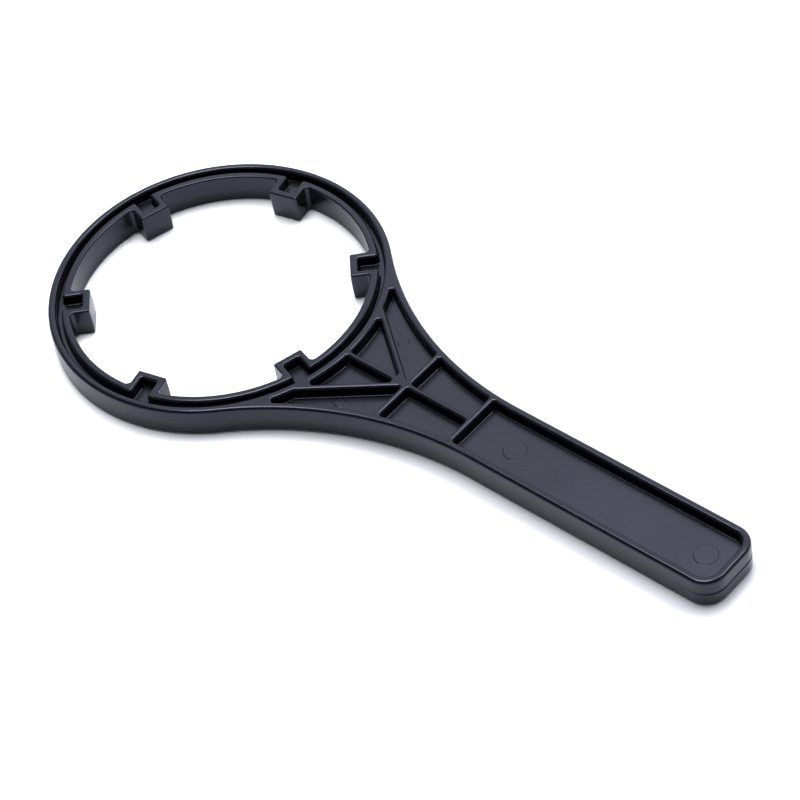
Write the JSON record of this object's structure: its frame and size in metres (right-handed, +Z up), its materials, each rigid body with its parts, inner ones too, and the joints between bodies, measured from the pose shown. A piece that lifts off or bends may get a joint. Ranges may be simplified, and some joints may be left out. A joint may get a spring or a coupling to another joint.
{
  "type": "filter housing wrench",
  "caption": "Flat moulded plastic wrench: a channelled ring with hollow inward drive lugs on a truss-ribbed neck and an open-trough handle, for turning a water filter housing's sump.",
  "frame": {"origin": "centre of the ring, on the plane that the wrench lies on", "axes": "+X along the handle, away from the ring; +Z up, through the ring; +Y across the handle"},
  "size_m": [0.281, 0.121, 0.011],
  "materials": {
    "black_plastic": "fine matte mould grain on the pocket floors, smoother low-gloss rims, ribs and walls"
  },
  "bodies": {
    "root": {"wrench": "black_plastic"}
  },
  "joints": []
}
